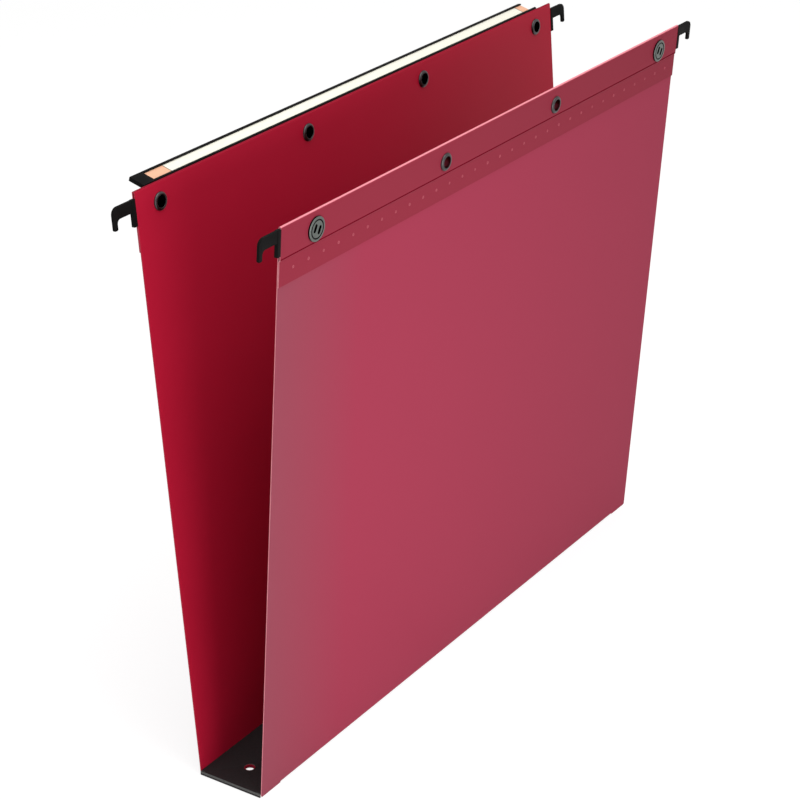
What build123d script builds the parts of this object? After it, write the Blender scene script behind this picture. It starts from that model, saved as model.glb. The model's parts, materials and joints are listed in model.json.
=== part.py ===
"""Hanging file folder: a red polypropylene pocket that hangs on two rails by four hooks.

X runs along the folder's width, +Y to the rear and +Z up. The origin is the middle of the
underside of the base. All sizes are in millimetres and degrees.
"""

import os
from math import cos, radians, sin, tan

from build123d import *

os.makedirs("parts", exist_ok=True)

# Sheet: front wall, base and rear wall
panel_width = 318.0
panel_height = 261.4
base_width = 32.5
sheet = 0.4
fold_radius = 1.2
lean = {"front": 3.6, "rear": 4.6}
corner_relief = 13.5
corner_foot_gap = 0.1
corner_radius = 0.75
crease_play = 0.05

# Hem at the top of each wall, folded outwards over the bar
hem_height = 14.4
hem_gap = 0.5
weld_band = 10.6
flap_gap = 0.1
jog_angle = 60.0
weld_spot = 1.9
weld_spot_pitch = 10.0
weld_end_inset = 9.0
weld_line_drop = 5.0

# Base board
board_thickness = 1.5
board_side_play = 0.15
board_rebate_play = 0.25
board_end_play = 0.1
board_end_lip = 0.5
board_end_side_inset = 0.45
board_hole_inset = 13.4
board_hole_diameter = 5.0
strip_collar_diameter = 4.8
strip_collar_drop = 0.2
strip_hole_diameter = 4.4
strip_tongue_width = 12.0
strip_tongue_inset = 5.0
strip_play = 0.3

# Bar: a flat steel strip with a narrow tongue at each end
bar_thickness = 0.4
bar_foot_gap = 1.75
bar_end_inset = 1.0
bar_tongue_height = 3.4
bar_tongue_inset = 1.5
bar_tongue_play = 0.05

# Hook
hook_plate = 1.2
hook_arm_drop = {"front": 0.8, "rear": 2.9}
hook_arm_height = 5.1
hook_leg_drop = 9.3
hook_leg_width = 2.2
hook_notch_width = 9.2
hook_corner_radius = 3.0
hook_notch_radius = 1.8
hook_tip_radius = 0.6
collar_length = 2.1
collar_thickness = 1.7
collar_height = 11.1
collar_gap = 0.1

# Fasteners in the hem, a little below its middle
fastener_drop = 1.0
fastener_play = 0.1
eyelet_spacing = 89.4
end_rivet_inset = 14.6
ring_diameter = 7.7
ring_bore = 5.2
ring_height = 0.9
ring_crest = 0.3
ring_edge = 0.2
clinch_diameter = 7.2
clinch_height = 1.3
shank_diameter = 5.8
rivet_head_diameter = 8.0
rivet_head_height = 0.8
rivet_head_bevel = 1.2
rivet_bore_depth = 2.0

# Press studs on the front hem
stud_inset = 20.6
stud_shift = 2.0
stud_drop = 0.7
stud_diameter = 10.3
stud_height = 0.8
stud_rim_bevel = 0.3
stud_groove_diameter = 8.2
stud_boss_diameter = 7.0
stud_groove_depth = 0.4
stud_slot_length = 3.6
stud_slot_width = 1.3
stud_slot_spacing = 2.9
stud_slot_tilt = 25.0
stud_slot_depth = 0.6
stud_shank_diameter = 4.0
stud_tail = 0.5
stud_back_diameter = 9.0
stud_back_height = 0.9
stud_back_bevel = 0.4

# Label rail and label
rail_left_inset = 7.4
rail_right_inset = 11.0
rail_play = 0.05
rail_leg = 1.0
rail_leg_drop = 13.0
rail_channel_gap = 0.35
rail_slope = 20.0
rail_channel_width = 7.5
rail_wall = 0.5
rail_floor = 0.8
rail_lip_overhang = 0.5
rail_lip = 0.5
rail_groove = 0.5
rail_drop = 1.4
rail_stop_length = 7.2
rail_mouth_inset = 3.6
rail_mouth_radius = 2.0
label_thickness = 0.3
label_play = 0.1
label_end_gap = 0.7

# Places worked out from the sizes above. Across a wall, distances are counted outwards from
# the crease axis, and heights up the wall from the same axis.
axis_y = base_width / 2 - fold_radius
inner_face = fold_radius - sheet
wall_mid = fold_radius - sheet / 2
hem_mid = wall_mid + sheet + hem_gap
flap_mid = wall_mid + sheet + flap_gap
hem_face = hem_mid + sheet / 2
bar_mid = (wall_mid + hem_mid) / 2
wall_top = panel_height - fold_radius
hem_bend = (hem_mid - wall_mid) / 2
hem_bend_height = wall_top - hem_bend - sheet / 2
hem_bottom = wall_top - hem_height
hem_middle = (wall_top + hem_bottom) / 2
flap_bottom = hem_bottom - weld_band
fold_half_length = panel_width / 2 - corner_relief
fastener_height = hem_middle - fastener_drop
stud_place = hem_middle - stud_drop
outward = {"front": 1, "rear": -1}


def directions(side):
    """Unit vectors out of a wall and up it."""
    angle = radians(lean[side])
    way = -outward[side]
    return Vector(0, way * cos(angle), -sin(angle)), Vector(0, way * sin(angle), cos(angle))


def wall_point(side, x, out, up):
    """A point given by its distance outwards and upwards from the crease axis."""
    out_dir, up_dir = directions(side)
    return Vector(x, -outward[side] * axis_y, fold_radius) + out_dir * out + up_dir * up


def section_plane(side):
    """Plane across a wall: local x runs outwards and local y up the wall."""
    out_dir, up_dir = directions(side)
    return Plane(wall_point(side, 0, 0, 0), x_dir=out_dir, z_dir=out_dir.cross(up_dir))


def face_plane(side, out):
    """Plane along a wall: local x is +X and local y runs up the wall."""
    up_dir = directions(side)[1]
    return Plane(wall_point(side, 0, out, 0), x_dir=(1, 0, 0), z_dir=Vector(1, 0, 0).cross(up_dir))


def fastener_plane(side, x, up):
    """Plane through a fastener: local x is its radius and local y its axis, pointing outwards."""
    out_dir = directions(side)[0]
    return Plane(wall_point(side, x, 0, up), x_dir=(1, 0, 0), z_dir=Vector(1, 0, 0).cross(out_dir))


def fastener_axis(side, x, up):
    """The line that a fastener is turned about."""
    return Axis(wall_point(side, x, 0, up), directions(side)[0])


def finish(piece, name):
    """Name a finished piece and write it."""
    piece.label = name
    export_step(piece, f"parts/{name}.step")


# Fasteners of each wall: name, place along X, height up the wall and the hole they need
eyelet_hole = shank_diameter + 2 * fastener_play
stud_hole = stud_shank_diameter + 2 * fastener_play
hands = {"left": -1, "right": 1}
eyelet_x = eyelet_spacing / 2
stud_x = panel_width / 2 - stud_inset
end_rivet_x = panel_width / 2 - end_rivet_inset
eyelets = {f"front_{hand}_eyelet": sign * eyelet_x for hand, sign in hands.items()}
studs = {f"front_{hand}_stud": sign * stud_x + stud_shift for hand, sign in hands.items()}
rivets = {f"rear_{hand}_rivet": sign * eyelet_x for hand, sign in hands.items()}
rivets.update({f"rear_{hand}_end_rivet": sign * end_rivet_x for hand, sign in hands.items()})
wall_holes = {
    "front": [(x, fastener_height, eyelet_hole) for x in eyelets.values()]
    + [(x, stud_place, stud_hole) for x in studs.values()],
    "rear": [(x, fastener_height, eyelet_hole) for x in rivets.values()],
}


# Drills: the cylinders that cut every fastener hole of a wall through all that the fasteners join
drill_reach = hem_gap + sheet + rail_leg
drills = {}
for side, holes in wall_holes.items():
    with BuildPart() as drill:
        with BuildSketch(face_plane(side, bar_mid)):
            for x, height, diameter in holes:
                with Locations((x, height)):
                    Circle(diameter / 2)
        extrude(amount=drill_reach, both=True)
    drills[side] = drill.part

# Walls: the sheet rises from the crease, folds outwards over the bar at the top, steps back to
# the wall below the bar and is spot welded to it along a row of small square spots.
jog_shift = hem_gap - flap_gap
jog_radius = jog_shift / (2 * (1 - cos(radians(jog_angle))))
jog_height = 2 * jog_radius * sin(radians(jog_angle))
corner_foot = (fold_radius - corner_foot_gap) / cos(radians(max(lean.values())))
corner_foot -= fold_radius * tan(radians(max(lean.values())))
weld_spot_count = round((panel_width - 2 * weld_end_inset) / weld_spot_pitch) + 1

for side in lean:
    with BuildPart() as wall:
        with BuildSketch(section_plane(side)):
            with BuildLine():
                Line((wall_mid, 0), (wall_mid, hem_bend_height))
                bend = CenterArc((bar_mid, hem_bend_height), hem_bend, 180, -180)
                fall = Line(bend @ 1, (hem_mid, hem_bottom + jog_height))
                jog_in = JernArc(fall @ 1, (0, -1), jog_radius, -jog_angle)
                jog_down = JernArc(jog_in @ 1, jog_in % 1, jog_radius, jog_angle)
                Line(jog_down @ 1, (flap_mid, flap_bottom))
            trace(line_width=sheet)
        extrude(amount=panel_width / 2, both=True)
        with BuildSketch(section_plane(side)):
            with BuildLine():
                CenterArc((0, 0), wall_mid, 0, lean[side] - 90)
            trace(line_width=sheet)
        extrude(amount=fold_half_length, both=True)
        with BuildSketch(face_plane(side, wall_mid)) as corner_feet:
            with Locations((-panel_width / 2, 0), (panel_width / 2, 0)):
                Rectangle(2 * corner_relief, 2 * corner_foot)
            Rectangle(panel_width, 2 * corner_foot, mode=Mode.INTERSECT)
            outer_corners = corner_feet.vertices().group_by(Axis.X)
            fillet(outer_corners[0] + outer_corners[-1], corner_radius)
        extrude(amount=sheet / 2, both=True)
        with BuildSketch(face_plane(side, wall_mid)):
            with Locations((0, hem_bottom - weld_line_drop)):
                with GridLocations(weld_spot_pitch, 1, weld_spot_count, 1):
                    Rectangle(weld_spot, weld_spot)
        extrude(amount=outward[side] * (flap_mid - wall_mid))
        add(drills[side], mode=Mode.SUBTRACT)
    finish(wall.part, f"{side}_panel")

# Base strip: the sheet between the creases. Its corners are cut away, a tongue in the middle
# reaches under each end of the board, and the rim of its hole is drawn up into the board's hole.
strip_half_width = axis_y
tongue_half_length = panel_width / 2 - strip_tongue_inset
board_hole_x = panel_width / 2 - board_hole_inset
board_top = sheet + board_thickness
with BuildPart() as base_strip:
    with BuildSketch(Plane.XY):
        Rectangle(2 * fold_half_length, 2 * strip_half_width)
        Rectangle(2 * tongue_half_length, strip_tongue_width)
    extrude(amount=sheet)
    with BuildSketch(Plane.XY):
        with Locations((-board_hole_x, 0), (board_hole_x, 0)):
            Circle(strip_collar_diameter / 2)
    extrude(amount=board_top - strip_collar_drop)
    with BuildSketch(Plane.XY):
        with Locations((-board_hole_x, 0), (board_hole_x, 0)):
            Circle(strip_hole_diameter / 2)
    extrude(amount=board_top - strip_collar_drop, mode=Mode.SUBTRACT)
    with BuildSketch(Plane.YZ):
        with Locations((-axis_y, fold_radius), (axis_y, fold_radius)):
            Circle(fold_radius + crease_play)
    extrude(amount=panel_width / 2, both=True, mode=Mode.SUBTRACT)
finish(base_strip.part, "base_strip")

# Base board: lies on the strip between the walls. Its underside is stepped in along both sides to
# leave room for the creases. Each end reaches down beyond the end of the strip, and a thin lip
# closes it over its full width just past the ends of the walls.
board_half_width = axis_y + inner_face - board_side_play
board_core_half_width = axis_y - fold_radius - board_rebate_play
board_step = fold_radius + crease_play
board_end = panel_width / 2 + board_end_play + board_end_lip
board_end_width = base_width - 2 * board_end_side_inset
with BuildPart() as base_board:
    with BuildSketch(Plane.XY.offset(board_step)):
        Rectangle(panel_width, 2 * board_half_width)
    extrude(amount=board_top - board_step)
    with BuildSketch(Plane.XY.offset(sheet)):
        Rectangle(panel_width, 2 * board_core_half_width)
    extrude(amount=board_step - sheet)
    with BuildSketch(Plane.XY):
        Rectangle(panel_width, 2 * board_core_half_width)
        Rectangle(2 * (fold_half_length + strip_play), base_width, mode=Mode.SUBTRACT)
        Rectangle(
            2 * (tongue_half_length + strip_play),
            strip_tongue_width + 2 * strip_play,
            mode=Mode.SUBTRACT,
        )
    extrude(amount=sheet)
    with BuildSketch(Plane.XY):
        with Locations((-board_hole_x, 0), (board_hole_x, 0)):
            Circle(board_hole_diameter / 2)
    extrude(amount=board_top, mode=Mode.SUBTRACT)
    with BuildSketch(Plane.XY):
        Rectangle(2 * board_end, 2 * board_core_half_width)
        Rectangle(panel_width, base_width, mode=Mode.SUBTRACT)
        with Locations((-board_end, 0)):
            Rectangle(board_end_lip, board_end_width, align=(Align.MIN, Align.CENTER))
        with Locations((board_end, 0)):
            Rectangle(board_end_lip, board_end_width, align=(Align.MAX, Align.CENTER))
    extrude(amount=board_top)
finish(base_board.part, "base_board")

# Bars: flat steel strip that fills the hem. Each end is cut down to a tongue for the hook.
bar_top = hem_bend_height
bar_bottom = hem_bottom + bar_foot_gap
bar_half_length = panel_width / 2 - bar_end_inset
collar_start = panel_width / 2 + collar_gap
collar_end = panel_width / 2 + collar_length
leg_start = collar_end + hook_notch_width
leg_end = leg_start + hook_leg_width
tongue_end = leg_start - bar_tongue_inset
arm_top = {side: wall_top - drop for side, drop in hook_arm_drop.items()}
arm_mid = {side: top - hook_arm_height / 2 for side, top in arm_top.items()}

for side in lean:
    with BuildPart() as bar:
        with BuildSketch(face_plane(side, bar_mid)):
            with Locations((0, (bar_top + bar_bottom) / 2)):
                Rectangle(2 * bar_half_length, bar_top - bar_bottom)
            with Locations((0, arm_mid[side])):
                Rectangle(2 * tongue_end, bar_tongue_height)
        extrude(amount=bar_thickness / 2, both=True)
        add(drills[side], mode=Mode.SUBTRACT)
    finish(bar.part, f"{side}_bar")

# Hooks: a flat arm with a leg that drops behind the cabinet's rail and a collar that butts on the
# end of the hem. The bar's tongue fills a pocket in the collar and arm.
pocket_thickness = bar_thickness + 2 * bar_tongue_play
pocket_height = bar_tongue_height + 2 * bar_tongue_play
pocket_end = tongue_end + bar_tongue_play

for side in lean:
    notch_top = arm_top[side] - hook_arm_height
    leg_tip = arm_top[side] - hook_leg_drop
    for hand, sign in hands.items():
        with BuildPart() as hook:
            with BuildSketch(face_plane(side, bar_mid)) as arm:
                with BuildLine():
                    Polyline(
                        (sign * collar_start, arm_top[side]),
                        (sign * leg_end, arm_top[side]),
                        (sign * leg_end, leg_tip),
                        (sign * leg_start, leg_tip),
                        (sign * leg_start, notch_top),
                        (sign * collar_start, notch_top),
                        close=True,
                    )
                make_face()
                tip = arm.vertices().sort_by(Axis.Y)[:2]
                fillet(tip, hook_tip_radius)
                top_corner = arm.vertices().group_by(Axis.Y)[-1].sort_by(Axis.X)
                fillet(top_corner[-1 if sign > 0 else 0], hook_corner_radius)
                notch_corner = arm.vertices().sort_by_distance((sign * leg_start, notch_top))[0]
                fillet(notch_corner, hook_notch_radius)
            extrude(amount=hook_plate / 2, both=True)
            with BuildSketch(face_plane(side, bar_mid)):
                with Locations((sign * (collar_start + collar_end) / 2, arm_top[side] - collar_height / 2)):
                    Rectangle(collar_end - collar_start, collar_height)
            extrude(amount=collar_thickness / 2, both=True)
            with BuildSketch(face_plane(side, bar_mid)):
                with Locations((sign * (collar_start + pocket_end) / 2, arm_mid[side])):
                    Rectangle(pocket_end - collar_start, pocket_height)
            extrude(amount=pocket_thickness / 2, both=True, mode=Mode.SUBTRACT)
        finish(hook.part, f"{side}_{hand}_hook")

# Eyelets: turned rings, highest at the bore on the front face and clinched inside the pocket
bore_radius = ring_bore / 2
ring_radius = ring_diameter / 2
shank_radius = shank_diameter / 2
for name, x in eyelets.items():
    with BuildPart() as eyelet:
        with BuildSketch(fastener_plane("front", x, fastener_height)):
            with BuildLine():
                Polyline(
                    (bore_radius, inner_face - clinch_height),
                    (bore_radius, hem_face + ring_height),
                    (bore_radius + ring_crest, hem_face + ring_height),
                    (ring_radius, hem_face + ring_edge),
                    (ring_radius, hem_face),
                    (shank_radius, hem_face),
                    (shank_radius, inner_face),
                    (clinch_diameter / 2, inner_face),
                    (bore_radius + ring_crest, inner_face - clinch_height),
                    close=True,
                )
            make_face()
        revolve(axis=fastener_axis("front", x, fastener_height))
    finish(eyelet.part, name)

# Rear rivets: hollow rivets, with the ring inside the pocket and a low head on the rail
rail_face = hem_face + rail_play + rail_leg
rivet_head_radius = rivet_head_diameter / 2
bore_end = inner_face + rivet_bore_depth
for name, x in rivets.items():
    with BuildPart() as rivet:
        with BuildSketch(fastener_plane("rear", x, fastener_height)):
            with BuildLine():
                Polyline(
                    (0, rail_face + rivet_head_height),
                    (0, bore_end),
                    (bore_radius, bore_end),
                    (bore_radius, inner_face - ring_height),
                    (bore_radius + ring_crest, inner_face - ring_height),
                    (ring_radius, inner_face - ring_edge),
                    (ring_radius, inner_face),
                    (shank_radius, inner_face),
                    (shank_radius, rail_face),
                    (rivet_head_radius, rail_face),
                    (rivet_head_radius - rivet_head_bevel, rail_face + rivet_head_height),
                    close=True,
                )
            make_face()
        revolve(axis=fastener_axis("rear", x, fastener_height))
    finish(rivet.part, name)

# Press studs: a flat round face with a bevelled rim, a groove round its boss and two parallel
# slots, with a shank riveted into a disc inside the pocket
stud_radius = stud_diameter / 2
stud_face = hem_face + stud_height
stud_shank_radius = stud_shank_diameter / 2
for name, x in studs.items():
    with BuildPart() as stud:
        with BuildSketch(fastener_plane("front", x, stud_place)):
            with BuildLine():
                Polyline(
                    (0, stud_face),
                    (0, inner_face - stud_tail),
                    (stud_shank_radius, inner_face - stud_tail),
                    (stud_shank_radius, hem_face),
                    (stud_radius, hem_face),
                    (stud_radius, stud_face - stud_rim_bevel),
                    (stud_radius - stud_rim_bevel, stud_face),
                    (stud_groove_diameter / 2, stud_face),
                    (stud_groove_diameter / 2, stud_face - stud_groove_depth),
                    (stud_boss_diameter / 2, stud_face - stud_groove_depth),
                    (stud_boss_diameter / 2, stud_face),
                    close=True,
                )
            make_face()
        revolve(axis=fastener_axis("front", x, stud_place))
        with BuildSketch(face_plane("front", stud_face)):
            with Locations(Location((x, stud_place), -stud_slot_tilt)):
                with GridLocations(stud_slot_spacing, 1, 2, 1):
                    Rectangle(stud_slot_width, stud_slot_length)
        extrude(amount=-stud_slot_depth, mode=Mode.SUBTRACT)
    finish(stud.part, name)
    with BuildPart() as stud_back:
        with BuildSketch(face_plane("front", inner_face)):
            with Locations((x, stud_place)):
                Circle(stud_back_diameter / 2)
        extrude(amount=-stud_back_height)
        rim = stud_back.faces().sort_by(Axis.Y)[-1].edges()
        chamfer(rim, stud_back_bevel)
        with BuildSketch(face_plane("front", inner_face)):
            with Locations((x, stud_place)):
                Circle(stud_shank_radius + fastener_play)
        extrude(amount=-(stud_tail + fastener_play), mode=Mode.SUBTRACT)
    finish(stud_back.part, f"{name}_back")

# Label rail: a leg riveted behind the rear hem carries a channel that slopes up to the rear.
# The channel's lips hold the label down and its left end is closed. At the right end only the
# near lip runs on, and the label slides out past the rounded end of the channel.
leg_face = hem_face + rail_play
channel_start = (leg_face + rail_channel_gap, wall_top - rail_drop)
out_dir, up_dir = directions("rear")
slope_out = out_dir * cos(radians(rail_slope)) + up_dir * sin(radians(rail_slope))
channel_plane = Plane(
    wall_point("rear", 0, *channel_start), x_dir=slope_out, z_dir=section_plane("rear").z_dir
)
channel_plan = Plane(channel_plane.origin, x_dir=(1, 0, 0), z_dir=channel_plane.y_dir)
groove_top = rail_floor + rail_groove
channel_height = groove_top + rail_lip
near_lip = rail_wall + rail_lip_overhang
mouth_width = rail_channel_width - 2 * near_lip
rail_start = rail_left_inset - panel_width / 2
rail_end = panel_width / 2 - rail_right_inset
rail_length = rail_end - rail_start
channel_end = rail_end - rail_mouth_inset
with BuildPart() as label_rail:
    with BuildSketch(channel_plane.offset(rail_start)):
        with Locations((rail_channel_width / 2, channel_height / 2)):
            Rectangle(rail_channel_width, channel_height)
        with Locations((rail_channel_width / 2, rail_floor + rail_groove / 2)):
            Rectangle(rail_channel_width - 2 * rail_wall, rail_groove, mode=Mode.SUBTRACT)
        with Locations((rail_channel_width / 2, groove_top + rail_lip / 2)):
            Rectangle(mouth_width, rail_lip, mode=Mode.SUBTRACT)
    extrude(amount=rail_length)
    with BuildSketch(channel_plan):
        with Locations((channel_end, near_lip)):
            Rectangle(rail_mouth_inset, rail_channel_width, align=(Align.MIN, Align.MIN))
        with Locations((channel_end, rail_channel_width)):
            Rectangle(rail_mouth_radius, rail_mouth_radius, align=(Align.MAX, Align.MAX))
        with Locations((channel_end - rail_mouth_radius, rail_channel_width - rail_mouth_radius)):
            Circle(rail_mouth_radius, mode=Mode.SUBTRACT)
    extrude(amount=channel_height, mode=Mode.SUBTRACT)
    with BuildSketch(section_plane("rear").offset(rail_start)):
        with BuildLine():
            leg_top = channel_start[1] + (rail_face - channel_start[0]) * tan(radians(rail_slope))
            Polyline(
                channel_start,
                (leg_face, channel_start[1]),
                (leg_face, wall_top - rail_leg_drop),
                (rail_face, wall_top - rail_leg_drop),
                (rail_face, leg_top),
                close=True,
            )
        make_face()
    extrude(amount=rail_length)
    with BuildSketch(channel_plane.offset(rail_start)):
        with Locations((rail_channel_width / 2, (rail_floor + channel_height) / 2)):
            Rectangle(rail_channel_width - 2 * rail_wall, channel_height - rail_floor)
    extrude(amount=rail_stop_length)
    add(drills["rear"], mode=Mode.SUBTRACT)
finish(label_rail.part, "label_rail")

# Label: a strip of card that lies in the channel
label_width = rail_channel_width - 2 * rail_wall - 2 * label_play
label_start = rail_start + rail_stop_length + label_play
label_length = channel_end - label_end_gap - label_start
with BuildPart() as label_strip:
    with BuildSketch(channel_plane.offset(label_start)):
        with Locations((rail_channel_width / 2, rail_floor + label_play / 2 + label_thickness / 2)):
            Rectangle(label_width, label_thickness)
    extrude(amount=label_length)
finish(label_strip.part, "label_strip")
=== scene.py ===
"""Hanging file folder: red polypropylene walls, black base board, moulded hooks and a label rail."""

import json
import math

import bmesh
import bpy
from mathutils import Matrix, Vector


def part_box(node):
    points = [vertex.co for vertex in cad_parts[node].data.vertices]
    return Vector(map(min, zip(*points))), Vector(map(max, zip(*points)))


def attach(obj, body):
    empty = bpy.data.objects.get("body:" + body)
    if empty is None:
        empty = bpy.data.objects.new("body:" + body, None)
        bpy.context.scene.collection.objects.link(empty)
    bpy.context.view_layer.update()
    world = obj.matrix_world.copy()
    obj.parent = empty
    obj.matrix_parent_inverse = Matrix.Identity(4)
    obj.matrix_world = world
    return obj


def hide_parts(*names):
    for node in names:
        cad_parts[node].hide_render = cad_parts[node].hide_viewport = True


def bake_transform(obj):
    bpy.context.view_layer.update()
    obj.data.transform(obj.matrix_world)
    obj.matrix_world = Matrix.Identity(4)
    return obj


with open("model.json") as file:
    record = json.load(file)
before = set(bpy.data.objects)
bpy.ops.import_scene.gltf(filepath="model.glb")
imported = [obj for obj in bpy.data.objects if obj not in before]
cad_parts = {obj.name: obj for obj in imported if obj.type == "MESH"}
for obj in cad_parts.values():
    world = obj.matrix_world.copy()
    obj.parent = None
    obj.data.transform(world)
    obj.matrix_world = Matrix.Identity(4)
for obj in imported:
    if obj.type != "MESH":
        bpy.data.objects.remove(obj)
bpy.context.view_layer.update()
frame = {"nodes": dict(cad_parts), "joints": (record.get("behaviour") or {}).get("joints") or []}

# Wall sheets
# The two walls are one sheet of red polypropylene, extruded 0.4 mm thick and creased at the base.
# The top of each wall is folded outwards over a steel bar, stepped back below it and welded.
mm = 0.001
lean = {"front": 3.6, "rear": 4.6}
outwards = {"front": -1, "rear": 1}
sheet = 0.4
panel_half_width = 159.0
fold_half_length = 145.5
panel_height = 261.4
hem_height = 14.4
hem_gap = 0.5
flap_height = 10.6
flap_gap = 0.1
crease_radius = 1.2
jog_angle = 60
corner_foot = 1.0
corner_radius = 0.75
wall_mid = crease_radius - sheet / 2
hem_mid = wall_mid + sheet + hem_gap
flap_mid = wall_mid + sheet + flap_gap
bar_mid = (wall_mid + hem_mid) / 2
hem_bend = bar_mid - wall_mid
hem_face = hem_mid + sheet / 2
inner_face = wall_mid - sheet / 2
wall_top = panel_height - crease_radius
bend_height = wall_top - hem_bend - sheet / 2
hem_bottom = wall_top - hem_height
flap_bottom = hem_bottom - flap_height
jog_radius = (hem_mid - flap_mid) / (2 - 2 * math.cos(math.radians(jog_angle)))
jog_top = hem_bottom + 2 * jog_radius * math.sin(math.radians(jog_angle))
creases = {joint["child"]: Vector(joint["pos_m"]) for joint in frame["joints"] if joint["type"] == "hinge"}


def wall_frame(side):
    """A wall's own frame: x along the folder, y up the wall from its crease and z to the front."""
    turn = math.radians(90 - outwards[side] * lean[side])
    return Matrix.Translation(creases[f"{side}_wall"]) @ Matrix.Rotation(turn, 4, "X") @ Matrix.Scale(mm, 4)


def arc(centre, radius, start, end, steps):
    """Points on an arc between two angles in degrees."""
    angles = [math.radians(start + (end - start) * step / steps) for step in range(steps + 1)]
    return [(centre[0] + radius * math.cos(a), centre[1] + radius * math.sin(a)) for a in angles]


def run(start, end, steps):
    """Points along a straight run, without its ends."""
    return [(start[0] + (end[0] - start[0]) * step / steps, start[1] + (end[1] - start[1]) * step / steps)
            for step in range(1, steps)]


def new_piece(name, mesh):
    """An object for a mesh, put in the scene."""
    piece = bpy.data.objects.new(name, mesh)
    bpy.context.scene.collection.objects.link(piece)
    return piece


def settle(piece, smooth_angle=35):
    """Turns a piece's modifiers into its mesh and smooths the faces that meet at a low angle."""
    evaluated = piece.evaluated_get(bpy.context.evaluated_depsgraph_get())
    mesh = bpy.data.meshes.new_from_object(evaluated)
    piece.modifiers.clear()
    piece.data = mesh
    mesh.name = piece.name
    mesh.shade_smooth()
    mesh.set_sharp_from_angle(angle=math.radians(smooth_angle))


def colour(code):
    """An sRGB hex value as linear RGBA."""
    parts = [int(code[i:i + 2], 16) / 255 for i in (1, 3, 5)]
    return [p / 12.92 if p <= 0.04045 else ((p + 0.055) / 1.055) ** 2.4 for p in parts] + [1.0]


def add_node(tree, kind, inputs=None, **settings):
    """Adds a node, sets its properties and sets or links its inputs."""
    node = tree.nodes.new(kind)
    for name, value in settings.items():
        setattr(node, name, value)
    for key, value in (inputs or {}).items():
        if isinstance(value, bpy.types.NodeSocket):
            tree.links.new(value, node.inputs[key])
        else:
            node.inputs[key].default_value = value
    return node


def start_material(name, **sockets):
    """A named material, with its node tree, its shader and the object's own coordinates."""
    material = bpy.data.materials.new(name)
    material.use_nodes = True
    tree = material.node_tree
    shader = tree.nodes["Principled BSDF"]
    for key, value in sockets.items():
        shader.inputs[key.replace("_", " ")].default_value = value
    place = add_node(tree, "ShaderNodeTexCoord").outputs["Object"]
    return material, tree, shader, place


def per_mm(size):
    """Pattern scale, per metre, for features that are this many millimetres across."""
    return 1 / (size * mm)


def noise(tree, place, size, detail=2.0):
    """A noise pattern with features of this many millimetres, as a socket."""
    node = add_node(tree, "ShaderNodeTexNoise", {"Vector": place, "Scale": per_mm(size), "Detail": detail})
    return node.outputs["Fac"]


def stored(tree, name):
    """The values that a mesh stores under this name, as a socket."""
    return add_node(tree, "ShaderNodeAttribute", attribute_name=name).outputs["Fac"]


def mixed(tree, share, first, second):
    """A mix of two colours, each a hex value or a socket, with this share of the second."""
    first, second = (colour(c) if isinstance(c, str) else c for c in (first, second))
    node = add_node(tree, "ShaderNodeMixRGB", {"Fac": share, "Color1": first, "Color2": second})
    return node.outputs["Color"]


def between(tree, share, first, second):
    """A number that goes from the first to the second as the share goes from 0 to 1, as a socket."""
    node = add_node(tree, "ShaderNodeMapRange", {"Value": share, "To Min": first, "To Max": second})
    return node.outputs["Result"]


def coloured(tree, shader, tone):
    """Gives a shader its colour."""
    tree.links.new(tone, shader.inputs["Base Color"])


def textured(tree, shader, height, strength, depth):
    """Gives a shader a bump of this many millimetres at most."""
    bump = add_node(tree, "ShaderNodeBump", {
        "Height": height, "Strength": strength, "Distance": depth * mm})
    tree.links.new(bump.outputs["Normal"], shader.inputs["Normal"])


# Extruded polypropylene, smooth inside. The outside is frosted and paler and greyer, partly by its own
# frosting and partly by a painted sheen; towards its left end the paler tone is painted sheen only. The
# sheet goes paler where it is folded, partly stress whitening and partly a painted highlight, and carries
# painted shade where a second layer lies behind it. The lower edge of the hem, the rear fold and the
# base collars carry painted shade, dark and dull.
left_sheen_length = 58.0
sheet_material, tree, shader, place = start_material("extruded_polypropylene", Roughness=0.5, IOR=1.49)
smooth = mixed(tree, noise(tree, place, 40, detail=3.0), "#B21633", "#B81937")
# Painted sheen: over the left end of each wall the frosted colour goes paler and greyer.
along = add_node(tree, "ShaderNodeSeparateXYZ", {"Vector": place}).outputs["X"]
left_sheen_share = add_node(tree, "ShaderNodeMapRange", {"Value": along, "From Min": -panel_half_width * mm,
                                             "From Max": (left_sheen_length - panel_half_width) * mm})
frost_and_sheen = mixed(tree, left_sheen_share.outputs["Result"], "#8E4251", "#9B344B")
# Painted shade where a second layer lies behind the sheet and less light comes through.
matt = mixed(tree, stored(tree, "backed"), frost_and_sheen, "#8A2A3B")
frosted = stored(tree, "frosted")
plain = mixed(tree, frosted, smooth, matt)
# Paler over the top of the front fold: partly stress whitening, partly a painted highlight.
whitened_and_lit = mixed(tree, stored(tree, "folded"), plain, "#F0909C")
# Painted shade, dark and dull, along the hem's lower edge, on the rear fold and in the base collars.
pressed = stored(tree, "pressed")
coloured(tree, shader, mixed(tree, pressed, whitened_and_lit, "#680B1D"))
sheen = between(tree, pressed, between(tree, frosted, 0.12, 0.05), 0.0)
tree.links.new(sheen, shader.inputs["Specular IOR Level"])
textured(tree, shader, noise(tree, place, 0.7), strength=0.12, depth=0.05)

# Sheared edge of the same sheet: rough, with faint marks of the blade across it. Along the front wall it
# is paler, partly the edge's own paleness and partly painted light; the rear wall's edges are painted
# shade, near the plain red.
edge_material, tree, shader, place = start_material("sheared_polypropylene", Roughness=0.6, IOR=1.49)
pale = mixed(tree, noise(tree, place, 2.5), "#D8737F", "#EC98A2")
coloured(tree, shader, mixed(tree, stored(tree, "torn"), "#B01C38", pale))

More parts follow.
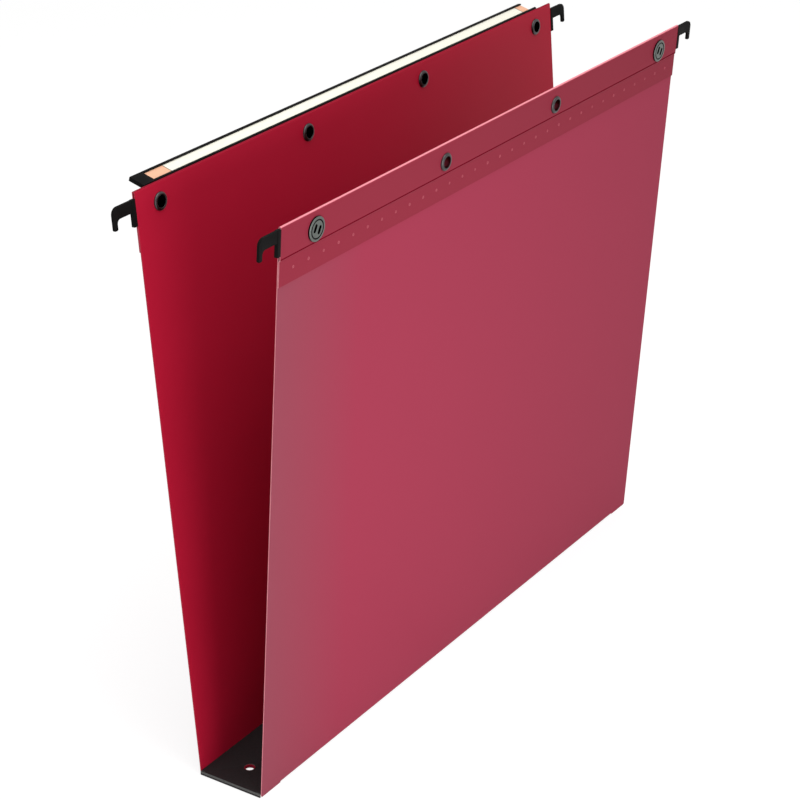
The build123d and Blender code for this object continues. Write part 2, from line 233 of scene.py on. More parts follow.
fastener_height = 252.0
stud_height = 252.3
eyelet_x = (-44.7, 44.7)
end_rivet_x = (-144.4, 144.4)
stud_x = (-136.4, 140.4)
rivet_hole = 6.0
stud_hole = 4.2
punch_depth = 20.0
holes = {
    "front": [(eyelet_x, fastener_height, rivet_hole), (stud_x, stud_height, stud_hole)],
    "rear": [(places, fastener_height, rivet_hole) for places in (eyelet_x, end_rivet_x)],
}


def punched(piece, punch_shape):
    """Cuts holes or slots into a piece, with walls of its last material, and settles it."""
    punch_mesh = bpy.data.meshes.new("punch")
    punch_shape.to_mesh(punch_mesh)
    punch_shape.free()
    for material in piece.data.materials:
        punch_mesh.materials.append(material)
    for face in punch_mesh.polygons:
        face.material_index = max(0, len(piece.data.materials) - 1)
    punch = new_piece("punch", punch_mesh)
    cut = piece.modifiers.new("holes", "BOOLEAN")
    cut.object = punch
    cut.solver = "EXACT"
    settle(piece)
    bpy.data.objects.remove(punch)


def sheet_piece(name, shape):
    """A piece of the sheet from its open surface: thickened, with sheared edges."""
    mesh = bpy.data.meshes.new(name)
    bmesh.ops.recalc_face_normals(shape, faces=shape.faces)
    shape.to_mesh(mesh)
    shape.free()
    mesh.materials.append(sheet_material)
    mesh.materials.append(edge_material)
    piece = new_piece(name, mesh)
    thicken = piece.modifiers.new("thickness", "SOLIDIFY")
    thicken.thickness = sheet * mm
    thicken.offset = 0
    thicken.use_even_offset = True
    thicken.material_offset_rim = 1
    return piece


crease_steps = 12
wall_rows = 26
fold_steps = 20
hem_rows = 4
jog_steps = 5
flap_rows = 5
foot_rows = 4
column_pitch = 9.7
corner_turns = (0, 30, 60, 90)
# How far down the fold the painted highlight and whitening reach, and how much on each wall.
whitened_lit_depth = 0.45
whitened_lit_fade = 0.3
whitening_and_highlight = {"front": 1.0, "rear": 0.0}
# Painted shade on the rear fold and along the hem's lower edge.
fold_shade = {"front": 0.0, "rear": 0.6}
# Paleness and painted light of the cut edges on each wall.
edge_paleness_and_light = {"front": 1.0, "rear": 0.1}
shade_line_width = 0.45
shade_line_fade = 0.1
shade_line_margin = 0.05
facing_out = 0.3

for side in lean:
    crease_line = arc((0, 0), wall_mid, 0, lean[side] - 90, crease_steps)[1:]
    wall_line = [(wall_mid, 0)]
    wall_line += run((wall_mid, 0), (wall_mid, bend_height), wall_rows)
    wall_line += arc((bar_mid, bend_height), hem_bend, 180, 0, fold_steps)
    wall_line += run((hem_mid, bend_height), (hem_mid, jog_top), hem_rows)
    wall_line += [(hem_mid, jog_top + shade_line_width + shade_line_fade), (hem_mid, jog_top + shade_line_width)]
    wall_line += arc((hem_mid - jog_radius, jog_top), jog_radius, 0, -jog_angle, jog_steps)[:-1]
    wall_line += arc((flap_mid + jog_radius, hem_bottom), jog_radius, 180 - jog_angle, 180, jog_steps)
    wall_line += run((flap_mid, hem_bottom), (flap_mid, flap_bottom), flap_rows)
    wall_line += [(flap_mid, flap_bottom)]
    bays = round(2 * fold_half_length / column_pitch)
    columns = [fold_half_length * (2 * bay / bays - 1) for bay in range(bays + 1)]
    rounded = [panel_half_width - corner_radius * (1 - math.sin(math.radians(turn)))
               for turn in corner_turns]
    columns = [-x for x in reversed(rounded)] + columns + rounded
    local_frame = wall_frame(side)
    shape = bmesh.new()
    strips = {"wall": {}, "crease": {}, "foot": {}}
    for x in columns:
        beyond = max(0, abs(x) - panel_half_width + corner_radius)
        depth = corner_foot - corner_radius + math.sqrt(corner_radius ** 2 - beyond ** 2)
        lines = {"wall": wall_line}
        if abs(x) <= fold_half_length:
            lines["crease"] = crease_line
        if abs(x) >= fold_half_length:
            lines["foot"] = [(wall_mid, -depth * (row + 1) / foot_rows) for row in range(foot_rows)]
        for strip, line in lines.items():
            points = [local_frame @ Vector((x, up, -outwards[side] * out)) for out, up in line]
            strips[strip][x] = [shape.verts.new(point) for point in points]
            if strip != "wall":
                strips[strip][x].insert(0, strips["wall"][x][0])
    for strip in strips.values():
        for left, right in zip(columns, columns[1:]):
            if left in strip and right in strip:
                for row in range(len(strip[left]) - 1):
                    shape.faces.new((strip[left][row], strip[right][row],
                                     strip[right][row + 1], strip[left][row + 1]))
    wall_sheet = sheet_piece(f"{side}_sheet", shape)
    punches = bmesh.new()
    for places, height, diameter in holes[side]:
        for x in places:
            bmesh.ops.create_cone(punches, cap_ends=True, segments=48, radius1=diameter / 2,
                                  radius2=diameter / 2, depth=punch_depth,
                                  matrix=local_frame @ Matrix.Translation((x, height, 0)))
    punched(wall_sheet, punches)
    to_wall = local_frame.inverted()
    backed = wall_sheet.data.attributes.new("backed", "FLOAT", "POINT")
    folded = wall_sheet.data.attributes.new("folded", "FLOAT", "POINT")
    pressed = wall_sheet.data.attributes.new("pressed", "FLOAT", "POINT")
    for vertex in wall_sheet.data.vertices:
        local = to_wall @ vertex.co
        outer = abs(local.z) > crease_radius + flap_gap / 2
        # Outer layers of the hem and flap carry painted shade, as a second layer lies behind them.
        backed.data[vertex.index].value = float(outer)
        # Painted highlight, with some real stress whitening, over the top of the fold.
        on_fold = max(0.0, min(1.0, (local.y - wall_top + whitened_lit_depth) / whitened_lit_fade))
        folded.data[vertex.index].value = whitening_and_highlight[side] * on_fold
        # Painted shade along the lower edge of the hem, and on the rear fold.
        above_jog = local.y - jog_top
        on_line = float(outer and -shade_line_margin < above_jog < shade_line_width + shade_line_margin)
        pressed.data[vertex.index].value = max(on_line, fold_shade[side] * on_fold)
    # Outward faces are frosted: paler, partly by their own frosting and partly by a painted sheen.
    frosted = wall_sheet.data.attributes.new("frosted", "FLOAT", "FACE")
    outside = local_frame.to_3x3() @ Vector((0, 0, -outwards[side] / mm))
    for face in wall_sheet.data.polygons:
        frosted.data[face.index].value = float(face.normal.dot(outside) > facing_out)
    # Paler edges on the front wall, partly their own paleness and partly painted light; darker on the rear.
    torn = wall_sheet.data.attributes.new("torn", "FLOAT", "FACE")
    torn.data.foreach_set("value", [edge_paleness_and_light[side]] * len(wall_sheet.data.polygons))
    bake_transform(wall_sheet)
    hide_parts(f"{side}_panel")

# Weld spots
# The flap below each hem is joined to the wall by a row of ultrasonic welds. The tip of the horn
# leaves a small round pit in the flap, with a bead of melted plastic round it.
weld_count = 31
weld_pitch = 10.0
weld_drop = 4.7
# The beads go paler, partly by whitened melt and partly by a painted highlight.
weld_whitened_lit = 0.2
weld_radius = 0.42
weld_bead = 0.26
weld_bead_flatness = 0.7
weld_sizes = (0.85, 1.1)
weld_seed = 5


def tree_input(tree, name, kind):
    """Adds a named input to a geometry tree and gives its identifier."""
    return tree.interface.new_socket(name, in_out="INPUT", socket_type=kind).identifier


def grown(name, tree, values):
    """The plain mesh that a geometry tree makes with these input values, keyed by identifier."""
    grower = new_piece(name, bpy.data.meshes.new(name))
    modifier = grower.modifiers.new("tree", "NODES")
    modifier.node_group = tree
    for identifier, value in values.items():
        modifier[identifier] = value
    settle(grower)
    return grower


weld_tree = bpy.data.node_groups.new("weld_row", "GeometryNodeTree")
weld_inputs = {name: tree_input(weld_tree, name, kind) for name, kind in (
    ("First Spot", "NodeSocketVector"), ("Count", "NodeSocketInt"), ("Pitch", "NodeSocketFloat"),
    ("Radius", "NodeSocketFloat"), ("Bead", "NodeSocketFloat"), ("Flatness", "NodeSocketFloat"),
    ("Whitening", "NodeSocketFloat"), ("Material", "NodeSocketMaterial"))}
weld_tree.interface.new_socket("Geometry", in_out="OUTPUT", socket_type="NodeSocketGeometry")
given = add_node(weld_tree, "NodeGroupInput").outputs
step = add_node(weld_tree, "ShaderNodeCombineXYZ", {"X": given["Pitch"]})
line = add_node(weld_tree, "GeometryNodeMeshLine", {
    "Count": given["Count"], "Offset": step.outputs["Vector"], "Start Location": given["First Spot"]})
pit_edge = add_node(weld_tree, "GeometryNodeCurvePrimitiveCircle", {
    "Resolution": 16, "Radius": given["Radius"]})
bead_section = add_node(weld_tree, "GeometryNodeCurvePrimitiveCircle", {
    "Resolution": 8, "Radius": given["Bead"]})
bead = add_node(weld_tree, "GeometryNodeCurveToMesh", {
    "Curve": pit_edge.outputs["Curve"], "Profile Curve": bead_section.outputs["Curve"]})
squeeze = add_node(weld_tree, "ShaderNodeCombineXYZ", {"X": 1.0, "Y": 1.0, "Z": given["Flatness"]})
flat_bead = add_node(weld_tree, "GeometryNodeTransform", {"Geometry": bead.outputs["Mesh"],
                                                          "Scale": squeeze.outputs["Vector"]})
uneven = add_node(weld_tree, "FunctionNodeRandomValue", {
    2: weld_sizes[0], 3: weld_sizes[1], "Seed": weld_seed}, data_type="FLOAT")
spots = add_node(weld_tree, "GeometryNodeInstanceOnPoints", {
    "Points": line.outputs["Mesh"], "Instance": flat_bead.outputs["Geometry"], "Scale": uneven.outputs[1]})
real = add_node(weld_tree, "GeometryNodeRealizeInstances", {"Geometry": spots.outputs["Instances"]})
# The beads take the paler fold colour with its painted highlight, and the painted shade of a backed layer.
weld_lit = add_node(weld_tree, "GeometryNodeStoreNamedAttribute", {
    "Geometry": real.outputs["Geometry"], "Name": "folded", "Value": given["Whitening"]})
weld_backed_shade = add_node(weld_tree, "GeometryNodeStoreNamedAttribute", {
    "Geometry": weld_lit.outputs["Geometry"], "Name": "backed", "Value": 1.0})
dulled = add_node(weld_tree, "GeometryNodeStoreNamedAttribute", {
    "Geometry": weld_backed_shade.outputs["Geometry"], "Name": "frosted", "Value": 1.0})
coated = add_node(weld_tree, "GeometryNodeSetMaterial", {"Geometry": dulled.outputs["Geometry"],
                                                         "Material": given["Material"]})
add_node(weld_tree, "NodeGroupOutput", {"Geometry": coated.outputs["Geometry"]})

for side in lean:
    flap_face = -outwards[side] * (flap_mid + sheet / 2)
    first_spot = (-(weld_count - 1) / 2 * weld_pitch, hem_bottom - weld_drop, flap_face)
    welds = grown(f"{side}_weld_spots", weld_tree, {
        weld_inputs["First Spot"]: first_spot, weld_inputs["Count"]: weld_count,
        weld_inputs["Pitch"]: weld_pitch, weld_inputs["Radius"]: weld_radius,
        weld_inputs["Bead"]: weld_bead, weld_inputs["Flatness"]: weld_bead_flatness,
        weld_inputs["Whitening"]: weld_whitened_lit, weld_inputs["Material"]: sheet_material})
    welds.data.transform(wall_frame(side))
    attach(welds, f"{side}_wall")

# Base sheet
# The part of the same sheet that lies between the creases. Its corners are cut away, and a tongue
# at each end reaches under the board. The rim of the hole there is drawn up into the board.
tongue_half_width = 6.0
tongue_half_length = 154.0
base_hole_x = (-145.6, 145.6)
collar_bore = 2.2
collar_radius = 2.4
collar_top = 1.65
collar_lip = 0.3
# Painted shade inside the base holes.
collar_shade = 0.5
turn_steps = 56
half_width = abs(creases["front_wall"].y) / mm
corner = [(fold_half_length, half_width), (fold_half_length, tongue_half_width),
          (tongue_half_length, tongue_half_width)]
outline = corner + [(x, -y) for x, y in reversed(corner)]
outline += [(-x, -y) for x, y in outline]
shape = bmesh.new()
shape.faces.new([shape.verts.new((x * mm, y * mm, sheet / 2 * mm)) for x, y in outline])
base_sheet = sheet_piece("base_sheet", shape)
punches = bmesh.new()
for x in base_hole_x:
    bmesh.ops.create_cone(punches, cap_ends=True, segments=turn_steps, radius1=collar_bore * mm,
                          radius2=collar_bore * mm, depth=punch_depth * mm,
                          matrix=Matrix.Translation((x * mm, 0, 0)))
punched(base_sheet, punches)
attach(base_sheet, "base")
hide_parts("base_strip")


def turned(name, outline):
    """A piece turned about z from the closed outline of its half section, given as radius and height."""
    shape = bmesh.new()
    rings = []
    for radius, height in outline:
        turns = [2 * math.pi * step / turn_steps for step in range(turn_steps if radius else 1)]
        rings.append([shape.verts.new((radius * math.cos(t), radius * math.sin(t), height)) for t in turns])
    for low, high in zip(rings, rings[1:] + rings[:1]):
        for step in range(turn_steps):
            corners = [circle[(step + ahead) % len(circle)] for circle, ahead in
                       ((low, 0), (low, 1), (high, 1), (high, 0))]
            face = list(dict.fromkeys(corners))
            if len(face) > 2:
                shape.faces.new(face)
    bmesh.ops.recalc_face_normals(shape, faces=shape.faces)
    mesh = bpy.data.meshes.new(name)
    shape.to_mesh(mesh)
    shape.free()
    return new_piece(name, mesh)


def maths(tree, operation, *values):
    """The result of a maths node, as a socket."""
    return add_node(tree, "ShaderNodeMath", dict(enumerate(values)), operation=operation).outputs[0]


pair_tree = bpy.data.node_groups.new("pair", "GeometryNodeTree")
pair_inputs = {name: tree_input(pair_tree, name, kind) for name, kind in (
    ("Piece", "NodeSocketObject"), ("Left", "NodeSocketFloat"), ("Right", "NodeSocketFloat"),
    ("Height", "NodeSocketFloat"), ("Material", "NodeSocketMaterial"))}
pair_tree.interface.new_socket("Geometry", in_out="OUTPUT", socket_type="NodeSocketGeometry")
given = add_node(pair_tree, "NodeGroupInput").outputs
spread = maths(pair_tree, "SUBTRACT", given["Right"], given["Left"])
first = add_node(pair_tree, "ShaderNodeCombineXYZ", {"X": given["Left"], "Y": given["Height"]})
step = add_node(pair_tree, "ShaderNodeCombineXYZ", {"X": spread})
line = add_node(pair_tree, "GeometryNodeMeshLine", {"Count": 2, "Start Location": first.outputs["Vector"],
                                                    "Offset": step.outputs["Vector"]})
one = add_node(pair_tree, "GeometryNodeObjectInfo", {"Object": given["Piece"]})
two = add_node(pair_tree, "GeometryNodeInstanceOnPoints", {"Points": line.outputs["Mesh"],
                                                           "Instance": one.outputs["Geometry"]})
real = add_node(pair_tree, "GeometryNodeRealizeInstances", {"Geometry": two.outputs["Instances"]})
coated = add_node(pair_tree, "GeometryNodeSetMaterial", {"Geometry": real.outputs["Geometry"],
                                                         "Material": given["Material"]})
add_node(pair_tree, "NodeGroupOutput", {"Geometry": coated.outputs["Geometry"]})


def paired(name, piece, places, height, material, placing):
    """A left and a right copy of a small piece, put in place by a matrix from millimetres."""
    pair = grown(name, pair_tree, {
        pair_inputs["Piece"]: piece, pair_inputs["Left"]: places[0], pair_inputs["Right"]: places[1],
        pair_inputs["Height"]: height, pair_inputs["Material"]: material})
    pair.data.transform(placing)
    bpy.data.objects.remove(piece)
    return pair


lip_round = (collar_radius - collar_bore + collar_lip) / 2
collar_outline = [(collar_radius, 0)]
collar_outline += arc((collar_radius - lip_round, collar_top - lip_round), lip_round, 0, 180, 10)
collar_outline += [(collar_bore, collar_top - 2 * lip_round), (collar_bore, 0)]
collar = turned("collar", collar_outline)
# The collar carries painted shade, dark and dull, inside the hole.
pressed = collar.data.attributes.new("pressed", "FLOAT", "POINT")
pressed.data.foreach_set("value", [collar_shade] * len(collar.data.vertices))
collars = paired("base_collars", collar, base_hole_x, 0.0, sheet_material, Matrix.Scale(mm, 4))
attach(collars, "base")

# Base board
# A strip of stiff black board that lies on the base sheet and keeps the folder open. It is cut from
# a larger board with a grained face; its cut edges are grey and fibrous above a set height and black below.
board_edge_break = 0.12
grey_cut_height = 0.85
cut_steepness = 0.8
join_distance = 0.002
flat_angle = 1
bevel_angle = 40


def merged_copy(node, name):
    """A copy of a CAD node's shape with its loose triangles joined into whole faces."""
    shape = bmesh.new()
    shape.from_mesh(frame["nodes"][node].data)
    bmesh.ops.remove_doubles(shape, verts=shape.verts, dist=join_distance * mm)
    bmesh.ops.dissolve_limit(shape, angle_limit=math.radians(flat_angle), verts=shape.verts,
                             edges=shape.edges)
    mesh = bpy.data.meshes.new(name)
    shape.to_mesh(mesh)
    shape.free()
    return new_piece(name, mesh)


def softened(piece, width, material, segments=3):
    """Rounds a piece's edges by this many millimetres and gives it its material."""
    piece.data.materials.clear()
    piece.data.materials.append(material)
    edges = piece.modifiers.new("edges", "BEVEL")
    edges.width = width * mm
    edges.segments = segments
    edges.limit_method = "ANGLE"
    edges.angle_limit = math.radians(bevel_angle)
    settle(piece)


# Black board with a fine pressed grain: matt, with its cut edges dull, fibrous grey above a set height and
# black below.
board_material, tree, shader, place = start_material(
    "grained_board", Roughness=0.6, IOR=1.5, Specular_IOR_Level=0.15)
grain = noise(tree, place, 0.9, detail=4.0)
face = mixed(tree, grain, "#151314", "#2B2627")
cut_grey = mixed(tree, grain, "#3A3A3A", "#747472")
up = add_node(tree, "ShaderNodeSeparateXYZ", {"Vector": place}).outputs["Z"]
upper = maths(tree, "GREATER_THAN", up, grey_cut_height * mm)
grey_cut = maths(tree, "MULTIPLY", stored(tree, "cut"), upper)
coloured(tree, shader, mixed(tree, grey_cut, face, cut_grey))
textured(tree, shader, grain, strength=0.4, depth=0.1)

board = merged_copy("base_board", "board")
softened(board, board_edge_break, board_material)
cut = board.data.attributes.new("cut", "FLOAT", "FACE")
for face in board.data.polygons:
    cut.data[face.index].value = float(abs(face.normal.z) < cut_steepness)
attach(board, "base")
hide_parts("base_board")

# Bars
# Flat steel strip, galvanised, that fills each hem and carries the load. Only the walls of its holes
# and the gap at its ends can be seen.
steel_material, tree, shader, place = start_material("galvanised_strip", Metallic=1.0, Roughness=0.38)
spangle = add_node(tree, "ShaderNodeTexVoronoi", {"Vector": place, "Scale": per_mm(3)})
coloured(tree, shader, mixed(tree, spangle.outputs["Color"], "#8C8F92", "#B4B7BA"))
for side in lean:
    frame["nodes"][f"{side}_bar"].material_slots[0].material = steel_material

# Hooks
# Black injection-moulded hooks, pushed on the tongue at each end of each bar. A collar butts on the
# end of the hem, and the leg drops behind the cabinet's rail.
hook_edge_round = 0.22

# Injection-moulded ABS with a fine spark-eroded texture and a low, even gloss.
moulded_material, tree, shader, place = start_material(
    "moulded_abs", Roughness=0.55, IOR=1.54, Specular_IOR_Level=0.02)
sparked = noise(tree, place, 0.6, detail=3.0)
coloured(tree, shader, mixed(tree, sparked, "#101010", "#1B1A1A"))
textured(tree, shader, sparked, strength=0.25, depth=0.06)

for side in lean:
    for hand in ("left", "right"):
        hook = merged_copy(f"{side}_{hand}_hook", f"{side}_{hand}_hook_moulding")
        softened(hook, hook_edge_round, moulded_material)
        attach(hook, f"{side}_wall")
        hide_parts(f"{side}_{hand}_hook")

# Eyelets
# Two open brass eyelets in the middle of the front hem, black nickel plated. Each is a drawn tube,
# rolled over on the front and clinched inside the pocket.
ring_bore = 2.6
ring_radius = 3.85
ring_height = 0.9
ring_edge = 0.2
ring_crest = 0.3
shank_radius = 2.9
clinch_radius = 3.6
clinch_height = 1.3
bore_margin = 0.01


def ring_section(outer, level, height):
    """Section of a drawn ring: a rounded lip at the bore, which falls in a curve to the outer edge."""
    lip = math.copysign(ring_crest / 2, height)
    points = [(ring_bore + ring_crest / 2 * (1 + x), level + height - lip + lip * y)
              for x, y in arc((0, 0), 1, 180, 90, 5)]
    crest = ring_bore + ring_crest / 2
    edge = math.copysign(ring_edge, height)
    points += [(crest + (outer - crest) * x, level + edge + (height - edge) * y)
               for x, y in arc((0, 0), 1, 80, 0, 8)]
    return points + [(outer, level)]


def mark_shaded_recess(piece, is_recess):
    """Marks the faces of a turned piece that lie in its recesses, by their radius and height, for painted
    shade.
    """
    recess = piece.data.attributes.new("recess", "FLOAT", "FACE")
    for face in piece.data.polygons:
        recess.data[face.index].value = float(is_recess(face.center.xy.length, face.center.z))


def fastener_pair(name, side, fastener, places, height, material, kind):
    """Sets a left and a right fastener in a wall, in the place of the two CAD nodes of that kind."""
    pair = paired(name, fastener, places, height, material, wall_frame(side))
    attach(pair, f"{side}_wall")
    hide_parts(f"{side}_left_{kind}", f"{side}_right_{kind}")


# Brass plated in black nickel: dark, with a soft metal gloss that is uneven where it was worked. The
# wall of an open bore carries a painted reflection of the red wall behind it, and a closed bore is
# painted shade, near black.
nickel_material, tree, shader, place = start_material("black_nickel", Metallic=1.0, Roughness=0.34)
worked = noise(tree, place, 0.8, detail=3.0)
bore = mixed(tree, stored(tree, "through"), "#0A0708", "#4A151E")
coloured(tree, shader, mixed(tree, stored(tree, "recess"), mixed(tree, worked, "#3C3A3B", "#565354"), bore))
textured(tree, shader, worked, strength=0.2, depth=0.05)

eyelet_outline = ring_section(ring_radius, hem_face, ring_height)
eyelet_outline += [(shank_radius, hem_face), (shank_radius, inner_face)]
eyelet_outline += reversed(ring_section(clinch_radius, inner_face, -clinch_height))
eyelet = turned("eyelet", eyelet_outline)
# The open bore's wall carries a painted reflection of the red wall behind it.
mark_shaded_recess(eyelet, lambda radius, height: radius < ring_bore + bore_margin)
through = eyelet.data.attributes.new("through", "FLOAT", "FACE")
through.data.foreach_set("value", [1.0] * len(eyelet.data.polygons))
fastener_pair("front_eyelets", "front", eyelet, eyelet_x, fastener_height, nickel_material,
              "eyelet")

# Press studs
# A wide press stud near each end of the front hem, stamped from steel and plated in gunmetal. Two
# slots in its face hold the spring, and its shank is riveted into a disc inside the pocket.
stud_radius = 5.15
stud_head = 0.8
stud_face = hem_face + stud_head
stud_rim = 0.35
stud_groove = (3.5, 4.1)
stud_groove_depth = 0.4
stud_shank = 2.0
stud_tail = 0.5
stud_slot_width = 1.6
stud_slot_length = 3.7
stud_slot_spacing = 3.0
stud_slot_tilt = -25.0
stud_slot_depth = 0.6
slot_punch_height = 2.0
recess_margin = 0.05
stud_back_radius = 4.5
stud_back_height = 0.9
stud_back_round = 0.5

# Steel plated in gunmetal: grey with a faint green cast and a satin gloss, with painted shade, near
# black, in its groove and slots and on its side wall.
gunmetal_material, tree, shader, place = start_material("gunmetal_plate", Metallic=1.0, Roughness=0.36)
worked = noise(tree, place, 1.0, detail=3.0)
plate = mixed(tree, worked, "#575C58", "#6F7470")
coloured(tree, shader, mixed(tree, stored(tree, "recess"), plate, "#050505"))
textured(tree, shader, worked, strength=0.2, depth=0.05)

stud_outline = [(0, inner_face - stud_tail), (stud_shank, inner_face - stud_tail), (stud_shank, hem_face)]
stud_outline += [(stud_radius, hem_face)]
stud_outline += arc((stud_radius - stud_rim, stud_face - stud_rim), stud_rim, 0, 90, 6)
stud_outline += [(stud_groove[1], stud_face), (stud_groove[1], stud_face - stud_groove_depth)]
stud_outline += [(stud_groove[0], stud_face - stud_groove_depth), (stud_groove[0], stud_face)]
stud_outline += [(0, stud_face)]
stud = turned("stud", stud_outline)
slots = bmesh.new()
slot_half = (stud_slot_length - stud_slot_width) / 2
slot_outline = arc((0, slot_half), stud_slot_width / 2, 0, 180, 8)
slot_outline += arc((0, -slot_half), stud_slot_width / 2, 180, 360, 8)
for x in (-stud_slot_spacing / 2, stud_slot_spacing / 2):
    tilt = Matrix.Rotation(math.radians(stud_slot_tilt), 4, "Z")
    floor_points = [tilt @ Vector((x + across, along, stud_face - stud_slot_depth))
                    for across, along in slot_outline]
    slot_floor = slots.faces.new([slots.verts.new(point) for point in floor_points])
    made = bmesh.ops.extrude_face_region(slots, geom=[slot_floor])
    lifted = [item for item in made["geom"] if isinstance(item, bmesh.types.BMVert)]
    bmesh.ops.translate(slots, verts=lifted, vec=(0, 0, slot_punch_height))
bmesh.ops.recalc_face_normals(slots, faces=slots.faces)
punched(stud, slots)
# Painted shade, near black, in the groove and slots and on the side wall below the rim.
groove_edge, stud_edge = stud_groove[1] + bore_margin, stud_radius - recess_margin
mark_shaded_recess(stud, lambda radius, height: hem_face < height < stud_face - recess_margin
            and (radius < groove_edge or radius > stud_edge))
fastener_pair("front_studs", "front", stud, stud_x, stud_height, gunmetal_material, "stud")

back_edge = stud_back_radius - stud_back_round
back_outline = [(0, inner_face), (stud_back_radius, inner_face)]
back_end = inner_face - stud_back_height
back_outline += arc((back_edge, back_end + stud_back_round), stud_back_round, 0, -90, 6)
back_outline += [(0, back_end)]
fastener_pair("front_stud_backs", "front", turned("stud_back", back_outline), stud_x, stud_height,
              gunmetal_material, "stud_back")

# Rear rivets
# Four hollow brass rivets hold the label rail on the rear hem. The rolled ring is inside the pocket
# and the closed, domed head lies on the rail.
rail_play = 0.05
rail_leg = 1.0
rail_face = hem_face + rail_play + rail_leg
rivet_head_radius = 4.0
rivet_head_height = 0.8
rivet_bore_depth = 2.0
dome = arc((0, 0), 1, 0, 90, 8)
rivet_outline = ring_section(ring_radius, -inner_face, ring_height)
rivet_outline += [(shank_radius, -inner_face), (shank_radius, -rail_face)]
rivet_outline += [(rivet_head_radius * x, -rail_face - rivet_head_height * y) for x, y in dome[:-1]]
rivet_outline += [(0, -rail_face - rivet_head_height), (0, -inner_face - rivet_bore_depth)]
rivet_outline += [(ring_bore, -inner_face - rivet_bore_depth)]
for kind, places in (("rivet", eyelet_x), ("end_rivet", end_rivet_x)):
    rivet = turned(kind, rivet_outline)
    # The closed bore of each rivet is painted shade.
    mark_shaded_recess(rivet, lambda radius, height: radius < ring_bore + bore_margin and height > -rail_face)
    fastener_pair(f"rear_{kind}s", "rear", rivet, places, fastener_height, nickel_material,
                  kind)

# Label rail
# A black moulded channel, riveted behind the rear hem and sloping up to the rear. Its lips hold the
# label, its left end is closed and the label slides out at the right.
rail_edge_round = 0.12
rail = merged_copy("label_rail", "rail_moulding")
softened(rail, rail_edge_round, moulded_material)
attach(rail, "rear_wall")
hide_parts("label_rail")

# Label
# A strip of cream card in the rail, with a plain coloured patch printed at each end.
label_left, label_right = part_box("label_strip")[0].x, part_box("label_strip")[1].x
patch_lengths = {"left": 12.0, "right": 5.5}
patch_line = 0.5
fibre_stretch = (0.2, 1.0, 1.0)
label_edge_break = 0.06

# Uncoated card: matt, faintly mottled, with fibres along it. The patches are flat salmon ink.
card_material, tree, shader, place = start_material("uncoated_card", Roughness=0.85, IOR=1.5)
lengthened = add_node(tree, "ShaderNodeMapping", {"Vector": place, "Scale": fibre_stretch})
fibres = noise(tree, lengthened.outputs["Vector"], 0.8)
card = mixed(tree, fibres, "#F6F3E2", "#FFFDF0")
along = add_node(tree, "ShaderNodeSeparateXYZ", {"Vector": place}).outputs["X"]
left_end = label_left + patch_lengths["left"] * mm
right_end = label_right - patch_lengths["right"] * mm
printed = mixed(tree, maths(tree, "LESS_THAN", along, left_end), card, "#F5BC9A")
printed = mixed(tree, maths(tree, "GREATER_THAN", along, right_end), printed, "#F5BC9A")
for patch_end in (left_end, right_end):
    on_line = maths(tree, "COMPARE", along, patch_end, patch_line / 2 * mm)
    printed = mixed(tree, on_line, printed, "#8C7A6A")
coloured(tree, shader, printed)
textured(tree, shader, fibres, strength=0.2, depth=0.04)

label_card = merged_copy("label_strip", "label_card")
softened(label_card, label_edge_break, card_material, segments=2)
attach(label_card, "label")
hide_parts("label_strip")

# Studio
# The folder stands on a pale floor in soft light: a wide lamp overhead, a weaker one at the left, a
# small one in front of the near end and a white room all round.
floor_half = 6.0
floor_level = -0.0003
floor_glow = 0.79
room_light = 0.48


def seen_ray(tree):
    """A socket that is 1 for rays from the camera, a mirror or a clear piece, and 0 for other rays."""
    rays = add_node(tree, "ShaderNodeLightPath").outputs
    seen = rays["Is Camera Ray"]
    for kind in ("Is Glossy Ray", "Is Transmission Ray"):
        seen = maths(tree, "MAXIMUM", seen, rays[kind])
    return seen


floor_mesh = bpy.data.meshes.new("floor")
floor_corners = [(floor_half * x, floor_half * y, floor_level)
                 for x, y in ((-1, -1), (1, -1), (1, 1), (-1, 1))]
floor_mesh.from_pydata(floor_corners, [], [(0, 1, 2, 3)])
floor = new_piece("floor", floor_mesh)

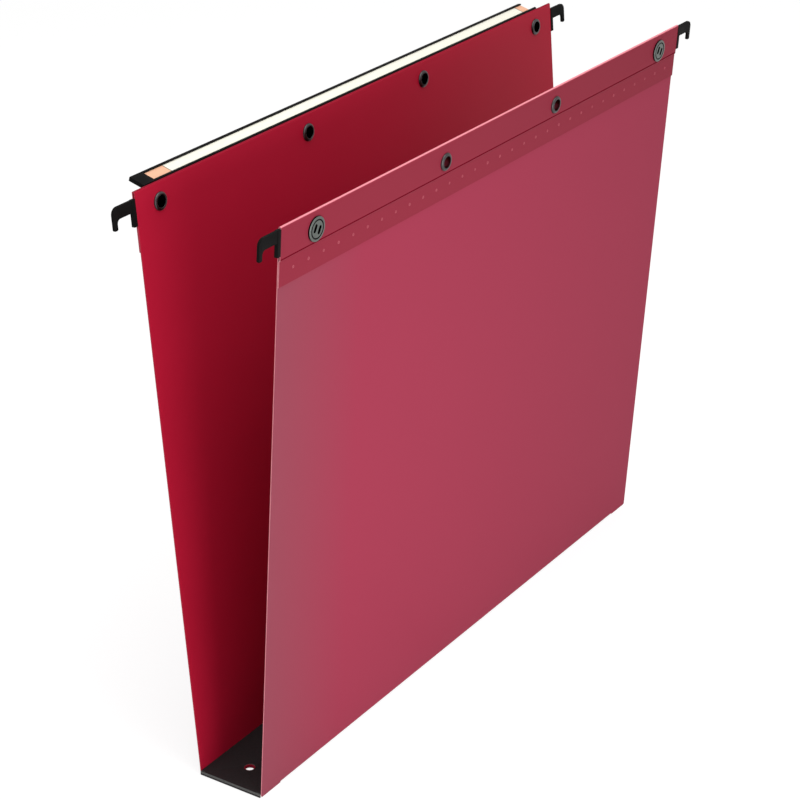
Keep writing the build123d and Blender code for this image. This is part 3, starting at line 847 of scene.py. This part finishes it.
# Pale matt floor, which is white to the eye and in reflections but still takes a shadow.
floor_material, tree, shader, place = start_material("pale_floor")
tree.nodes.remove(shader)
matt = add_node(tree, "ShaderNodeBsdfDiffuse", {"Color": (0.8, 0.8, 0.8, 1)})
shaded = add_node(tree, "ShaderNodeBsdfDiffuse", {"Color": (0.3, 0.3, 0.3, 1)})
glow = add_node(tree, "ShaderNodeEmission", {"Color": (1, 1, 1, 1), "Strength": floor_glow})
white = add_node(tree, "ShaderNodeAddShader", {0: shaded.outputs[0], 1: glow.outputs[0]})
shown = add_node(tree, "ShaderNodeMixShader", {0: seen_ray(tree), 1: matt.outputs[0], 2: white.outputs[0]})
tree.links.new(shown.outputs[0], tree.nodes["Material Output"].inputs["Surface"])
floor_mesh.materials.append(floor_material)

room = bpy.data.worlds.new("white_room")
bpy.context.scene.world = room
room.use_nodes = True
tree = room.node_tree
tree.nodes.clear()
around = add_node(tree, "ShaderNodeBackground", {"Color": (1, 1, 1, 1), "Strength": room_light})
behind = add_node(tree, "ShaderNodeBackground", {"Color": (1, 1, 1, 1), "Strength": 1.0})
both = add_node(tree, "ShaderNodeMixShader", {
    0: seen_ray(tree), 1: around.outputs[0], 2: behind.outputs[0]})
add_node(tree, "ShaderNodeOutputWorld", {"Surface": both.outputs[0]})

# Place and aim in metres, size in metres and power in watts.
lamps = {
    "overhead": ((-0.2, -0.3, 1.6), (0, 0, 0.1), 1.4, 15.5),
    "front_left": ((-0.7, -0.9, 0.8), (-0.15, 0, 0.13), 0.7, 1.0),
    "front": ((-0.19, -0.4, 0.16), (-0.11, 0, 0.08), 0.3, 0.85),
}
for name, (place, aim, size, power) in lamps.items():
    lamp_data = bpy.data.lights.new(name, "AREA")
    lamp_data.size = size
    lamp_data.energy = power
    lamp = bpy.data.objects.new(name, lamp_data)
    bpy.context.scene.collection.objects.link(lamp)
    lamp.location = place
    lamp.rotation_mode = "QUATERNION"
    lamp.rotation_quaternion = (Vector(aim) - Vector(place)).to_track_quat("-Z", "Y")

# The camera stands at the front left and looks down on the folder through a long lens.
bpy.context.scene.view_settings.view_transform = "Standard"
camera_data = bpy.data.cameras.new("camera")
camera_data.lens = 105.63
camera_data.sensor_width = 36
camera = bpy.data.objects.new("camera", camera_data)
bpy.context.scene.collection.objects.link(camera)
target = Vector((-0.0288, 0, 0.13))
azimuth, elevation, distance = math.radians(-56.49), math.radians(25.29), 1.0405
back = Vector((math.sin(azimuth) * math.cos(elevation), -math.cos(azimuth) * math.cos(elevation),
               math.sin(elevation)))
camera.location = target + back * distance
camera.rotation_mode = "QUATERNION"
camera.rotation_quaternion = (-back).to_track_quat("-Z", "Y")
bpy.context.scene.camera = camera
